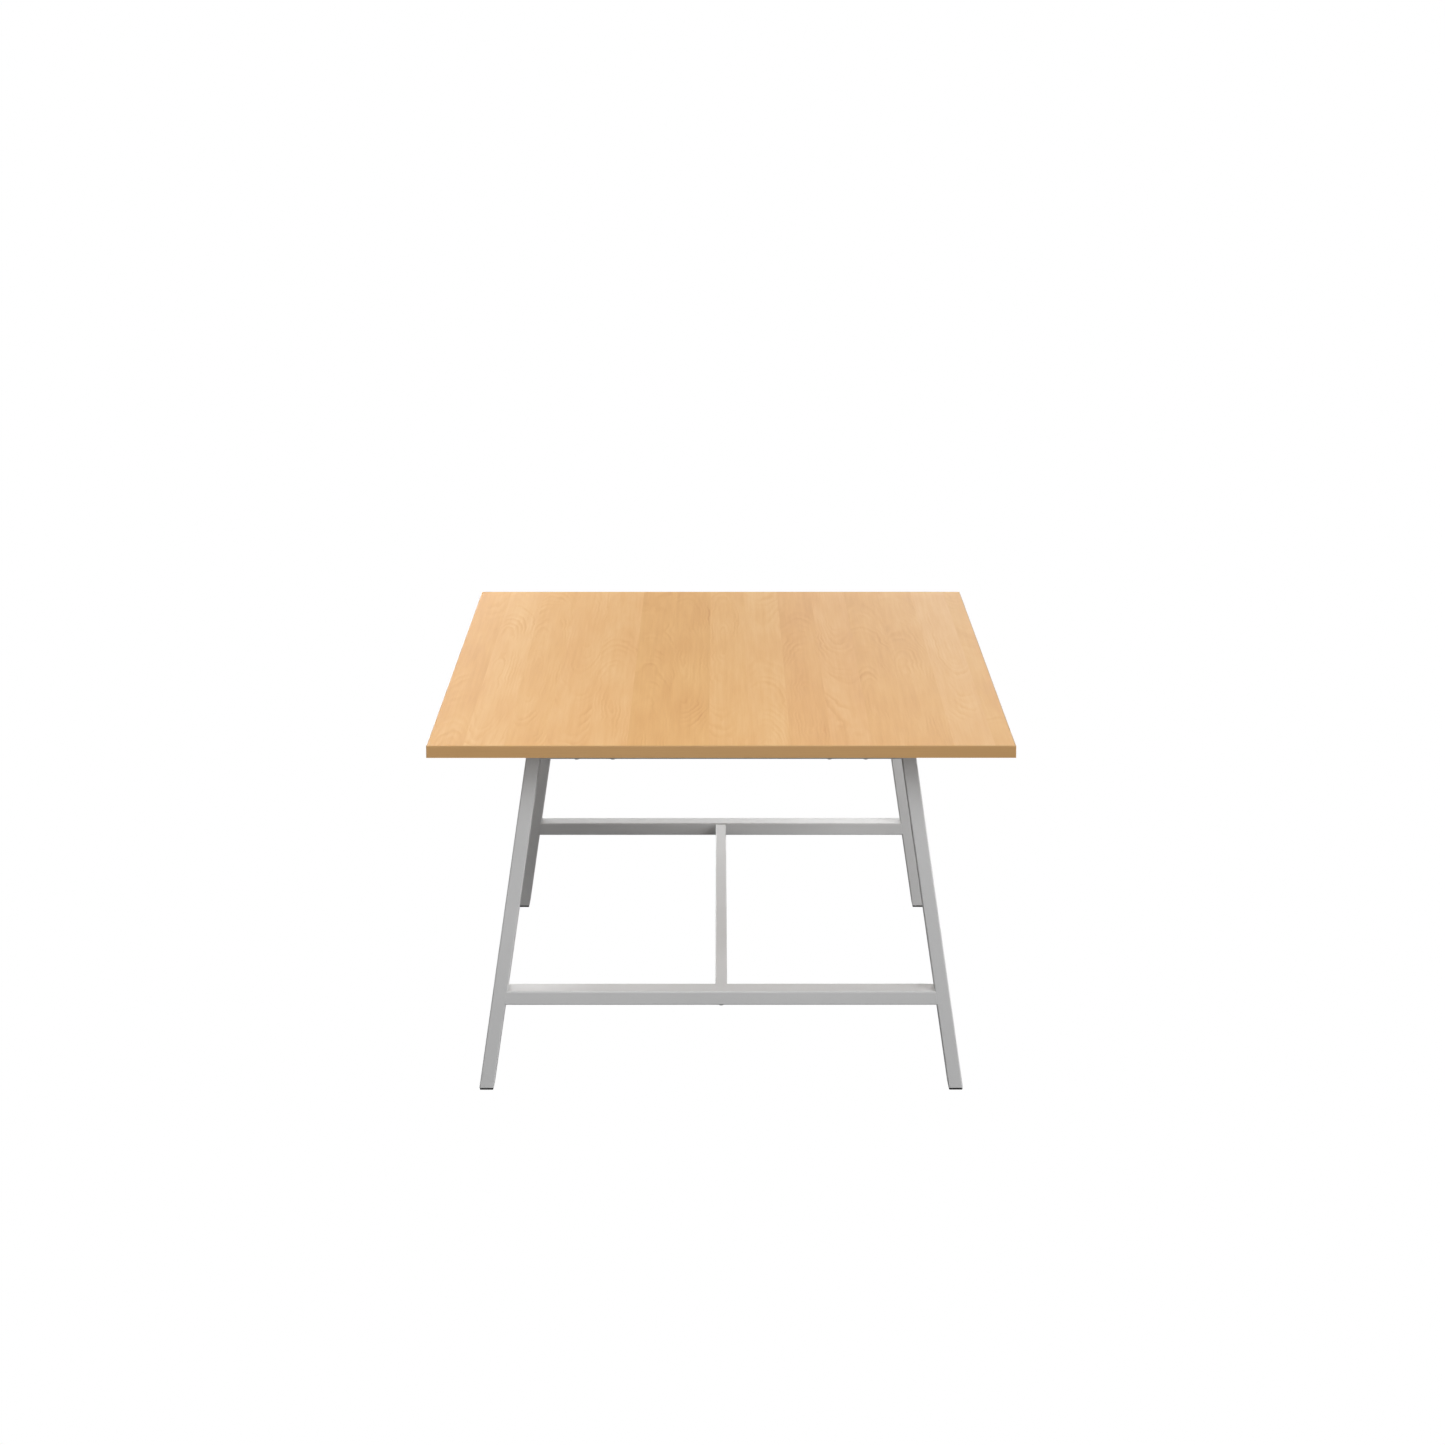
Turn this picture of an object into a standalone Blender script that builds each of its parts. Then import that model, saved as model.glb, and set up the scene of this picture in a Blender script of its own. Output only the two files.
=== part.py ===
# Plain A-frame table: a lipped board top on two welded tube end frames,
# joined by a low centre beam. Metres, +Z up, origin on the floor at the centre.
# X runs across the table, Y along it, and the front end is at -Y.

import math

import bmesh
import bpy

# Overall sizes
TABLE_HEIGHT = 0.770
TOP_WIDTH = 1.200
TOP_LENGTH = 1.800
TOP_THICKNESS = 0.025
EDGE_BAND = 0.002  # thickness of the edging strips
EDGE_ARRIS = 0.0015  # rounding along the edging's outer corners

# End frames, 60 x 30 tube
FRAME_INSET = 0.123  # end of the top to the outer face of a frame
FRAME_SPREAD = 0.800  # outside width of a frame at its top
LEG_LEAN = math.radians(8.45)
TUBE_WIDTH = 0.030
TUBE_DEPTH = 0.060
TUBE_WALL = 0.002
TUBE_CORNER = 0.004
STRETCHER_TOP = 0.216

# Centre beam, 25 x 25 tube, and its tongues
BEAM_SIDE = 0.025
BEAM_WALL = 0.002
BEAM_CORNER = 0.003
TONGUE_WIDTH = 0.016
TONGUE_IN_BEAM = 0.040
TONGUE_PAST_BOLT = 0.015

# Foot glides
PAD_THICKNESS = 0.004
PAD_INSET = 0.001  # how far a pad stands in from its leg's faces
PAD_CHAMFER = 0.0008
PLUG_HEIGHT = 0.018
PLUG_WALL = 0.002
PLUG_TAPER = 0.0006
PLUG_TAPER_HEIGHT = 0.004

# Screws with their washers, and inserts: M6 into the top, M8 into the beam's tongues
TOP_SCREW_X = (-0.300, -0.225, 0.225, 0.300)
TOP_SCREW = {
    "shank": 0.006,
    "head": 0.010,
    "head_height": 0.006,
    "socket": 0.005,
    "socket_depth": 0.003,
    "washer": 0.012,
    "washer_thickness": 0.0016,
    "bite": 0.013,  # how far it reaches into the board
}
BEAM_SCREW = {
    "shank": 0.008,
    "head": 0.013,
    "head_height": 0.008,
    "socket": 0.006,
    "socket_depth": 0.004,
    "washer": 0.016,
    "washer_thickness": 0.0016,
    "bite": 0.016,  # how far it reaches into its tongue
}
SCREW_CHAMFER = 0.0006
INSERT_OUTSIDE = 0.010
INSERT_LENGTH = 0.015
INSERT_BARBS = 3
INSERT_BARB_DEPTH = 0.0007
INSERT_HOLE_RELIEF = 0.0015  # hole depth past the insert

GAP = 0.0003  # clearance between pieces that meet
CUT_OVERRUN = 0.005  # how far a cutter runs past what it cuts
ROUND_SIDES = 18  # a multiple of six, so that a hexagon keeps its corners
CORNER_STEPS = 4

# Levels and lines that follow from the sizes above
UNDERSIDE = TABLE_HEIGHT - TOP_THICKNESS
FRAME_TOP = UNDERSIDE - GAP
RAIL_BOTTOM = FRAME_TOP - TUBE_WIDTH
STRETCHER_BOTTOM = STRETCHER_TOP - TUBE_WIDTH
STRETCHER_MIDDLE = STRETCHER_TOP - TUBE_WIDTH / 2
FRAME_Y = TOP_LENGTH / 2 - FRAME_INSET - TUBE_DEPTH / 2
LEG_SLOPE = math.tan(LEG_LEAN)
LEG_WIDTH_LEVEL = TUBE_WIDTH / math.cos(LEG_LEAN)  # a leg's width on a level cut
MITRE = (math.pi / 2 - LEG_LEAN) / 2  # between a mitre cut and a square cut


def leg_centre(level):
    """Distance of a leg's centre line from the frame's middle at a level."""
    return FRAME_SPREAD / 2 + (FRAME_TOP - level) * LEG_SLOPE - LEG_WIDTH_LEVEL / 2


def clear_scene():
    for found in list(bpy.data.objects):
        bpy.data.objects.remove(found, do_unlink=True)


def make_material(name, colour, roughness, metallic=0.0):
    material = bpy.data.materials.new(name)
    material.use_nodes = True
    shader = material.node_tree.nodes["Principled BSDF"]
    shader.inputs["Base Color"].default_value = (*colour, 1.0)
    shader.inputs["Roughness"].default_value = roughness
    shader.inputs["Metallic"].default_value = metallic
    return material


def make_empty(name, parent=None, location=(0, 0, 0), turn=0.0):
    empty = bpy.data.objects.new(name, None)
    empty.parent = parent
    empty.location = location
    empty.rotation_euler = (0, 0, turn)
    bpy.context.scene.collection.objects.link(empty)
    return empty


def make_object(name, bm, material, parent, location=(0, 0, 0), rotation=(0, 0, 0)):
    bmesh.ops.recalc_face_normals(bm, faces=bm.faces)
    mesh = bpy.data.meshes.new(name)
    bm.to_mesh(mesh)
    bm.free()
    mesh.shade_smooth()
    mesh.set_sharp_from_angle(angle=math.radians(35))
    mesh.materials.append(material)
    made = bpy.data.objects.new(name, mesh)
    made.parent = parent
    made.location = location
    made.rotation_euler = rotation
    bpy.context.scene.collection.objects.link(made)
    return made


def circle(radius, level):
    turns = (2 * math.pi * i / ROUND_SIDES for i in range(ROUND_SIDES))
    return [(radius * math.cos(a), radius * math.sin(a), level) for a in turns]


def hexagon(across_flats, level):
    """A hexagon with as many points as a circle, so that the two can be joined."""
    points = []
    for i in range(ROUND_SIDES):
        angle = 2 * math.pi * i / ROUND_SIDES
        off_flat = angle % (math.pi / 3) - math.pi / 6
        reach = across_flats / 2 / math.cos(off_flat)
        points.append((reach * math.cos(angle), reach * math.sin(angle), level))
    return points


def rounded_rectangle(width, depth, radius):
    points = []
    for quarter in range(4):
        start = quarter * math.pi / 2
        middle = start + math.pi / 4
        centre_x = math.copysign(width / 2 - radius, math.cos(middle))
        centre_y = math.copysign(depth / 2 - radius, math.sin(middle))
        for step in range(CORNER_STEPS + 1):
            angle = start + step * math.pi / 2 / CORNER_STEPS
            points.append((centre_x + radius * math.cos(angle), centre_y + radius * math.sin(angle)))
    return points


def skin(loops, ring=False, bm=None):
    """A closed body through loops of equally many points: capped, or closed on itself as a ring."""
    bm = bm or bmesh.new()
    rows = [[bm.verts.new(point) for point in loop] for loop in loops]
    pairs = list(zip(rows, rows[1:]))
    if ring:
        pairs.append((rows[-1], rows[0]))
    else:
        bm.faces.new(rows[0])
        bm.faces.new(rows[-1])
    for lower, upper in pairs:
        for i in range(len(lower)):
            following = (i + 1) % len(lower)
            bm.faces.new((lower[i], lower[following], upper[following], upper[i]))
    return bm


def tube(width, depth, wall, corner, start, end):
    """A tube along Z. Each end is a plane: (its Z at the middle, its rise along X)."""
    outside = rounded_rectangle(width, depth, corner)
    inside = rounded_rectangle(width - 2 * wall, depth - 2 * wall, corner - wall)

    def cut(outline, plane):
        middle, rise = plane
        return [(x, y, middle + rise * x) for x, y in outline]

    return skin([cut(outside, start), cut(outside, end), cut(inside, end), cut(inside, start)], ring=True)


def box(low, high):
    outline = [(low[0], low[1]), (high[0], low[1]), (high[0], high[1]), (low[0], high[1])]
    return skin([[(x, y, level) for x, y in outline] for level in (low[2], high[2])])


def holes(name, places, diameter, low, high, parent):
    """A cutter of upright round rods at (x, y) places."""
    bm = bmesh.new()
    for place_x, place_y in places:
        ends = [circle(diameter / 2, level) for level in (low, high)]
        skin([[(x + place_x, y + place_y, z) for x, y, z in end] for end in ends], bm=bm)
    return make_object(name, bm, finishes["steel"], parent)


def cut_from(target, cutter):
    cutter.hide_render = True
    cutter.display_type = "WIRE"
    difference = target.modifiers.new(cutter.name, "BOOLEAN")
    difference.operation = "DIFFERENCE"
    difference.solver = "EXACT"
    difference.object = cutter


def cap_screw(size, length):
    """A socket-head screw pointing up, with the underside of its head at Z 0."""
    shank = size["shank"] / 2
    head = size["head"] / 2
    face = -size["head_height"]
    return skin(
        [
            hexagon(size["socket"], face + size["socket_depth"]),
            hexagon(size["socket"], face),
            circle(head - SCREW_CHAMFER, face),
            circle(head, face + SCREW_CHAMFER),
            circle(head, 0),
            circle(shank, 0),
            circle(shank, length - SCREW_CHAMFER),
            circle(shank - SCREW_CHAMFER, length),
        ]
    )


def washer(size):
    outside = size["washer"] / 2
    bore = clearance_bore(size) / 2
    thickness = size["washer_thickness"]
    loops = [circle(outside, 0), circle(outside, thickness), circle(bore, thickness), circle(bore, 0)]
    return skin(loops, ring=True)


def clearance_bore(size):
    return size["shank"] + 2 * GAP


def insert(bore):
    """A sleeve with barbs outside, pointing up from Z 0."""
    crest = INSERT_OUTSIDE / 2
    root = crest - INSERT_BARB_DEPTH
    pitch = INSERT_LENGTH / INSERT_BARBS
    loops = []
    for barb in range(INSERT_BARBS):
        loops.append(circle(crest, barb * pitch))
        loops.append(circle(root, (barb + 1) * pitch))
    loops.append(circle(bore / 2, INSERT_LENGTH))
    loops.append(circle(bore / 2, 0))
    return skin(loops, ring=True)


def make_board(top):
    """The board, with blind holes for the inserts in its underside."""
    half_x = TOP_WIDTH / 2 - EDGE_BAND - GAP
    half_y = TOP_LENGTH / 2 - EDGE_BAND - GAP
    bm = box((-half_x, -half_y, 0), (half_x, half_y, TOP_THICKNESS))
    board = make_object("top_board", bm, finishes["beech"], top)
    places = [(x, end * FRAME_Y) for end in (-1, 1) for x in TOP_SCREW_X]
    depth = GAP + INSERT_LENGTH + INSERT_HOLE_RELIEF
    cut_from(board, holes("insert_holes", places, INSERT_OUTSIDE + 2 * GAP, -CUT_OVERRUN, depth, top))


def round_outer_edges(bm, axis, face_at, all_round):
    """Rounds the edges of the face that looks outwards: its long ones, or all four."""
    edges = []
    for edge in bm.edges:
        ends = [vert.co for vert in edge.verts]
        on_face = all(math.isclose(co[axis], face_at, abs_tol=1e-6) for co in ends)
        upright = abs(ends[0].z - ends[1].z) > TOP_THICKNESS / 2
        if on_face and (all_round or not upright):
            edges.append(edge)
    bmesh.ops.bevel(bm, geom=edges, offset=EDGE_ARRIS, segments=3, profile=0.5, affect="EDGES")


def make_edging(top):
    """Strips across both ends, and strips between them along both sides."""
    half_x = TOP_WIDTH / 2
    half_y = TOP_LENGTH / 2
    side_y = half_y - EDGE_BAND - GAP
    for end_name, side_name, turn in (("front", "left", 0), ("rear", "right", math.pi)):
        bm = box((-half_x, -half_y, 0), (half_x, -half_y + EDGE_BAND, TOP_THICKNESS))
        round_outer_edges(bm, 1, -half_y, all_round=True)
        make_object(end_name + "_edge_band", bm, finishes["edging"], top, rotation=(0, 0, turn))
        bm = box((-half_x, -side_y, 0), (-half_x + EDGE_BAND, side_y, TOP_THICKNESS))
        round_outer_edges(bm, 0, -half_x, all_round=False)
        make_object(side_name + "_edge_band", bm, finishes["edging"], top, rotation=(0, 0, turn))


def make_inserts(top):
    for end_name, end in (("front", -1), ("rear", 1)):
        for number, x in enumerate(TOP_SCREW_X, 1):
            bm = insert(clearance_bore(TOP_SCREW))
            name = f"{end_name}_top_insert_{number}"
            make_object(name, bm, finishes["brass"], top, (x, end * FRAME_Y, GAP))


def make_leg(name, side, frame):
    level_cut = -side * LEG_SLOPE
    foot = (PAD_THICKNESS + GAP) / math.cos(LEG_LEAN)
    outer_end = FRAME_TOP / math.cos(LEG_LEAN) - TUBE_WIDTH / 2 * LEG_SLOPE
    inner_end = RAIL_BOTTOM / math.cos(LEG_LEAN) + TUBE_WIDTH / 2 * LEG_SLOPE
    middle = (outer_end + inner_end) / 2 - GAP / 2 / math.cos(MITRE)
    mitre_cut = side * (outer_end - inner_end) / TUBE_WIDTH
    bm = tube(TUBE_WIDTH, TUBE_DEPTH, TUBE_WALL, TUBE_CORNER, (foot, level_cut), (middle, mitre_cut))
    place = (side * leg_centre(0), 0, 0)
    make_object(name, bm, finishes["coated steel"], frame, place, (0, -side * LEG_LEAN, 0))


def make_rail(name, frame):
    """The top rail, laid flat under the board and mitred to the legs."""
    top_reach = FRAME_SPREAD / 2
    bottom_reach = leg_centre(RAIL_BOTTOM) - LEG_WIDTH_LEVEL / 2
    middle = (top_reach + bottom_reach) / 2 - GAP / 2 / math.cos(MITRE)
    rise = (bottom_reach - top_reach) / TUBE_WIDTH
    bm = tube(TUBE_WIDTH, TUBE_DEPTH, TUBE_WALL, TUBE_CORNER, (-middle, -rise), (middle, rise))
    level = FRAME_TOP - TUBE_WIDTH / 2
    rail = make_object(name, bm, finishes["coated steel"], frame, (0, 0, level), (0, math.pi / 2, 0))
    places = [(x, 0) for x in TOP_SCREW_X]
    low = RAIL_BOTTOM - CUT_OVERRUN
    high = FRAME_TOP + CUT_OVERRUN
    cut_from(rail, holes(name + "_holes", places, clearance_bore(TOP_SCREW), low, high, frame))


def make_stretcher(name, frame):
    """The cross stretcher, cut to the legs' lean, with a window and a screw hole for the beam's tongue."""
    reach = leg_centre(STRETCHER_MIDDLE) - LEG_WIDTH_LEVEL / 2 - GAP
    bm = tube(TUBE_WIDTH, TUBE_DEPTH, TUBE_WALL, TUBE_CORNER, (-reach, -LEG_SLOPE), (reach, LEG_SLOPE))
    place = (0, 0, STRETCHER_MIDDLE)
    stretcher = make_object(name, bm, finishes["coated steel"], frame, place, (0, math.pi / 2, 0))
    hole_low = STRETCHER_BOTTOM - CUT_OVERRUN
    hole_high = STRETCHER_BOTTOM + TUBE_WALL + CUT_OVERRUN
    drill = holes(name + "_hole", [(0, 0)], clearance_bore(BEAM_SCREW), hole_low, hole_high, frame)
    cut_from(stretcher, drill)
    half = TONGUE_WIDTH / 2 + GAP
    tongue_low, tongue_high = tongue_in_stretcher()
    window_low = (-half, TUBE_DEPTH / 2 - TUBE_CORNER - GAP, tongue_low - GAP / 2)
    window_high = (half, TUBE_DEPTH / 2 + CUT_OVERRUN, tongue_high + GAP / 2)
    window = make_object(name + "_window", box(window_low, window_high), finishes["steel"], frame)
    cut_from(stretcher, window)


def tongue_in_beam():
    """The tongue's lowest and highest level where it fills the beam's bore."""
    reach = BEAM_SIDE / 2 - BEAM_WALL - GAP
    return STRETCHER_MIDDLE - reach, STRETCHER_MIDDLE + reach


def tongue_in_stretcher():
    """The same where it lies on the stretcher's floor, under the stretcher's roof."""
    floor = STRETCHER_BOTTOM + TUBE_WALL + GAP
    roof = STRETCHER_TOP - TUBE_WALL - GAP
    return floor, min(roof, tongue_in_beam()[1])


def make_tongue(name, frame):
    """A steel bar, stepped where it leaves the beam's bore for the stretcher's floor."""
    joint = TUBE_DEPTH / 2
    far_end = joint + TONGUE_IN_BEAM
    beam_low, beam_high = tongue_in_beam()
    low, high = tongue_in_stretcher()
    outline = [
        (-TONGUE_PAST_BOLT, low),
        (joint, low),
        (joint, beam_low),
        (far_end, beam_low),
        (far_end, beam_high),
        (joint, beam_high),
        (joint, high),
        (-TONGUE_PAST_BOLT, high),
    ]
    # Two points meet where a side runs on with no step, and one of them is left out.
    following = outline[1:] + outline[:1]
    outline = [here for here, after in zip(outline, following) if math.dist(here, after) > GAP / 10]
    bm = skin([[(x, y, z) for y, z in outline] for x in (-TONGUE_WIDTH / 2, TONGUE_WIDTH / 2)])
    tongue = make_object(name, bm, finishes["steel"], frame)
    ends = (low - CUT_OVERRUN, high + CUT_OVERRUN)
    drill = holes(name + "_hole", [(0, 0)], clearance_bore(BEAM_SCREW), *ends, frame)
    cut_from(tongue, drill)


def make_glide(name, side, frame):
    """A pad under a leg's open end, with a hollow plug that follows the leg's bore."""

    def level_loop(width, depth, radius, level):
        shift = side * leg_centre(max(level, PAD_THICKNESS))
        return [(x + shift, y, level) for x, y in rounded_rectangle(width, depth, radius)]

    def pad(shrink, level):
        inset = PAD_INSET + shrink
        width = LEG_WIDTH_LEVEL - 2 * inset
        return level_loop(width, TUBE_DEPTH - 2 * inset, TUBE_CORNER - PAD_INSET, level)

    def plug(shrink, level):
        inset = TUBE_WALL + GAP + shrink
        width = LEG_WIDTH_LEVEL - 2 * inset / math.cos(LEG_LEAN)
        return level_loop(width, TUBE_DEPTH - 2 * inset, TUBE_CORNER - TUBE_WALL, level)

    plug_top = PAD_THICKNESS + PLUG_HEIGHT
    bm = skin(
        [
            pad(PAD_CHAMFER, 0),
            pad(0, PAD_CHAMFER),
            pad(0, PAD_THICKNESS),
            plug(0, PAD_THICKNESS),
            plug(0, plug_top - PLUG_TAPER_HEIGHT),
            plug(PLUG_TAPER, plug_top),
            plug(PLUG_WALL, plug_top),
            plug(PLUG_WALL, PAD_THICKNESS),
        ]
    )
    make_object(name, bm, finishes["black plastic"], frame)


def make_screw(name, washer_name, size, seat, bite_from, x, frame):
    """A screw and its washer, hung under a seat and reaching up past the level where it bites."""
    washer_level = seat - GAP - size["washer_thickness"]
    head_level = washer_level - GAP
    length = bite_from + size["bite"] - head_level
    make_object(washer_name, washer(size), finishes["zinc"], frame, (x, 0, washer_level))
    make_object(name, cap_screw(size, length), finishes["zinc"], frame, (x, 0, head_level))


def make_frame(table, end_name, end, turn):
    """One end frame. Its own -Y looks out of the table, so the rear one is turned half round."""
    frame = make_empty(end_name + "_frame", table, (0, end * FRAME_Y, 0), turn)
    for side_name, side in (("left", end), ("right", -end)):
        make_leg(f"{end_name}_{side_name}_leg", side, frame)
        make_glide(f"{end_name}_{side_name}_foot_glide", side, frame)
    make_rail(end_name + "_top_rail", frame)
    make_stretcher(end_name + "_cross_stretcher", frame)
    make_tongue(end_name + "_beam_tongue", frame)
    floor = STRETCHER_BOTTOM + TUBE_WALL
    beam_names = (end_name + "_beam_bolt", end_name + "_beam_washer")
    make_screw(*beam_names, BEAM_SCREW, STRETCHER_BOTTOM, floor, 0, frame)
    for number, x in enumerate(TOP_SCREW_X, 1):
        top_names = (f"{end_name}_top_bolt_{number}", f"{end_name}_top_washer_{number}")
        make_screw(*top_names, TOP_SCREW, RAIL_BOTTOM, UNDERSIDE, -end * x, frame)


def make_beam(table):
    reach = FRAME_Y - TUBE_DEPTH / 2 - GAP
    bm = tube(BEAM_SIDE, BEAM_SIDE, BEAM_WALL, BEAM_CORNER, (-reach, 0), (reach, 0))
    place = (0, 0, STRETCHER_MIDDLE)
    make_object("centre_beam", bm, finishes["coated steel"], table, place, (-math.pi / 2, 0, 0))


clear_scene()
finishes = {
    "beech": make_material("beech_decor", (0.72, 0.45, 0.21), 0.45),
    "edging": make_material("beech_edging", (0.60, 0.37, 0.17), 0.50),
    "coated steel": make_material("silver_grey_coat", (0.46, 0.46, 0.45), 0.42, 0.25),
    "black plastic": make_material("black_glide_plastic", (0.02, 0.02, 0.02), 0.55),
    "steel": make_material("bare_steel", (0.42, 0.42, 0.43), 0.40, 0.9),
    "zinc": make_material("zinc_plate", (0.55, 0.55, 0.56), 0.35, 0.95),
    "brass": make_material("insert_brass", (0.62, 0.46, 0.20), 0.35, 0.95),
}
table_root = make_empty("table")
top_group = make_empty("top", table_root, (0, 0, UNDERSIDE))
make_board(top_group)
make_edging(top_group)
make_inserts(top_group)
make_frame(table_root, "front", -1, 0.0)
make_frame(table_root, "rear", 1, math.pi)
make_beam(table_root)
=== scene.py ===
import math

import bmesh
import bpy
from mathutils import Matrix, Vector


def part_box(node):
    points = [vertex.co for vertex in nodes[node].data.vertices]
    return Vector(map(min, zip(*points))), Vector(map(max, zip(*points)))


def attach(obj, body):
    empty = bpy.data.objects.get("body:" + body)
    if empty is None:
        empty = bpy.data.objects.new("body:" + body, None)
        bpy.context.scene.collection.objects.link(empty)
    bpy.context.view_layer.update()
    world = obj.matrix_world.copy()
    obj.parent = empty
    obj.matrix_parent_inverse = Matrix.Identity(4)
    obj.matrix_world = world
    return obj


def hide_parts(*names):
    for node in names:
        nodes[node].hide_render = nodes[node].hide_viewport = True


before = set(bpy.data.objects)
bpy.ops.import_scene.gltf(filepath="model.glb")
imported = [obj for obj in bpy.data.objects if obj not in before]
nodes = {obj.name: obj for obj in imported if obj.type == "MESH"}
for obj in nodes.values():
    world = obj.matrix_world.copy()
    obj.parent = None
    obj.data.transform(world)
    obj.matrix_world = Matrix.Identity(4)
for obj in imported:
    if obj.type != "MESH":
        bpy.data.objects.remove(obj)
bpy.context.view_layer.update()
print("frame loaded:", len(nodes), "nodes")

ends = ("front", "rear")
sides = {"left": -1, "right": 1}
topScrews = range(1, 5)  # four in each end's rail
up = Vector((0, 0, 1))
alongX = Vector((1, 0, 0))
alongY = Vector((0, 1, 0))


# Node helpers: a value that is a socket gets linked, anything else is set on the node
def feed(tree, socket, value):
    if isinstance(value, bpy.types.NodeSocket):
        tree.links.new(value, socket)
    else:
        socket.default_value = value


def addNode(tree, kind, inputs=None, **settings):
    made = tree.nodes.new("ShaderNode" + kind)
    for name, value in settings.items():
        setattr(made, name, value)
    for name, value in (inputs or {}).items():
        feed(tree, made.inputs[name], value)
    return made


def calc(tree, operation, *values):
    return addNode(tree, "Math", dict(enumerate(values)), operation=operation).outputs[0]


def weighedSum(tree, start, sockets, shares):
    # start plus each named socket times its share
    total = start
    for name, share in shares.items():
        total = calc(tree, "MULTIPLY_ADD", sockets[name], share, total)
    return total


def mixColours(tree, factor, first, second, blend="MIX"):
    # a mix node takes its two colours at 6 and 7 and gives the mixed one at 2
    inputs = {0: factor, 6: first, 7: second}
    return addNode(tree, "Mix", inputs, data_type="RGBA", blend_type=blend).outputs[2]


def remap(tree, value, before, after=(0.0, 1.0), smooth=False):
    # from one range to another, held at both ends
    inputs = {0: value, 1: before[0], 2: before[1], 3: after[0], 4: after[1]}
    climb = "SMOOTHSTEP" if smooth else "LINEAR"
    return addNode(tree, "MapRange", inputs, interpolation_type=climb).outputs[0]


def stretchedNoise(tree, place, scale, detail=2.0, roughness=0.5):
    # noise of about -0.5 to 0.5, with its own scale along each axis, in features per metre
    scaled = addNode(tree, "VectorMath", {0: place, 1: scale}, operation="MULTIPLY").outputs[0]
    inputs = {"Vector": scaled, "Scale": 1.0, "Detail": detail, "Roughness": roughness}
    noise = addNode(tree, "TexNoise", inputs).outputs["Fac"]
    return calc(tree, "SUBTRACT", noise, 0.5)


def noisesFor(tree, place, look):
    return {name: stretchedNoise(tree, place, **settings) for name, settings in look["noises"].items()}


def startFinish(name, fixed=None):
    material = bpy.data.materials.new(name)
    material.use_nodes = True
    tree = material.node_tree
    shader = tree.nodes["Principled BSDF"]
    for socket, value in (fixed or {}).items():
        shader.inputs[socket].default_value = value
    place = addNode(tree, "TexCoord").outputs["Object"]
    return material, tree, shader, place


def addGloss(tree, shader, look, marks):
    gloss = weighedSum(tree, look["roughness"], marks, look["glossShares"])
    tree.links.new(gloss, shader.inputs["Roughness"])


def addRelief(tree, shader, look, marks):
    height = weighedSum(tree, 0.0, marks, look["reliefShares"])
    inputs = {"Height": height, "Strength": look["reliefStrength"], "Distance": look["reliefDepth"]}
    bump = addNode(tree, "Bump", inputs)
    tree.links.new(bump.outputs["Normal"], shader.inputs["Normal"])


def dress(tree, shader, look, marks):
    # a finish that runs from a dark to a light colour
    shade = weighedSum(tree, look["shade"], marks, look["shadeShares"])
    colour = mixColours(tree, shade, look["dark"], look["light"])
    tree.links.new(colour, shader.inputs["Base Color"])
    addGloss(tree, shader, look, marks)
    addRelief(tree, shader, look, marks)


# In each look the noises give features per metre, and the shares say how much each mark counts
beechLook = {
    "plankWidth": 0.0833,
    "plankShift": 0.525,  # a joint lies this far left of the middle
    "stagger": 31.0,  # the most that a plank's figure is moved along
    "toneSeed": 2789.0,
    "hueSeed": 5381.0,
    "ringSeed": 57.0,
    "darkest": (0.577, 0.265, 0.084, 1),
    "middle": (0.709, 0.404, 0.161, 1),
    "lightest": (0.809, 0.548, 0.272, 1),
    "pinkish": (1.000, 0.985, 0.990, 1),
    "yellowish": (0.995, 1.000, 0.940, 1),
    "pithDepth": 0.052,
    "pithWaver": 0.035,
    "pithSwing": 0.050,
    "swingLength": 3.2,
    "pithOffset": 0.045,
    "ringGap": 0.0072,
    "ringRipple": 0.028,
    "ringUneven": 1.6,  # in gaps
    "ringDarkens": (0.10, 0.72),  # from and to, as shares of a gap
    "ringEnds": (0.74, 1.0),
    "ringFaintest": 0.25,
    "ringSpread": 1.1,  # how much stronger than the faintest a ring may be
    "lateWoodMean": 0.37,
    "patchRange": (-0.06, 0.24),
    "patchStrength": (0.06, 1.7),
    "fleckRange": (0.16, 0.30),
    "noises": {
        "ripple": {"scale": (11, 4.5, 1), "detail": 4, "roughness": 0.6},
        "waver": {"scale": (2, 2.3, 1)},
        "uneven": {"scale": (30, 6, 1)},
        "patches": {"scale": (16, 3, 1)},
        "streaks": {"scale": (420, 7, 1), "detail": 4, "roughness": 0.65},
        "stripes": {"scale": (120, 3, 1), "detail": 3, "roughness": 0.6},
        "mottle": {"scale": (22, 2.6, 1)},
    },
    "dashes": {"scale": (1500, 170, 1), "detail": 1},
    "shade": 0.5,
    "shadeShares": {
        "tone": 0.22,
        "figure": 0.145,
        "streaks": 0.29,
        "stripes": 0.34,
        "mottle": 0.50,
        "flecks": -0.07,
    },
    "roughness": 0.58,
    "glossShares": {"streaks": 0.10, "mottle": 0.08, "flecks": 0.10},
    "reliefShares": {"flecks": -1.0, "streaks": 0.6},
    "reliefStrength": 0.06,
    "reliefDepth": 0.0003,
    "sheen": 0.20,
}


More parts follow.
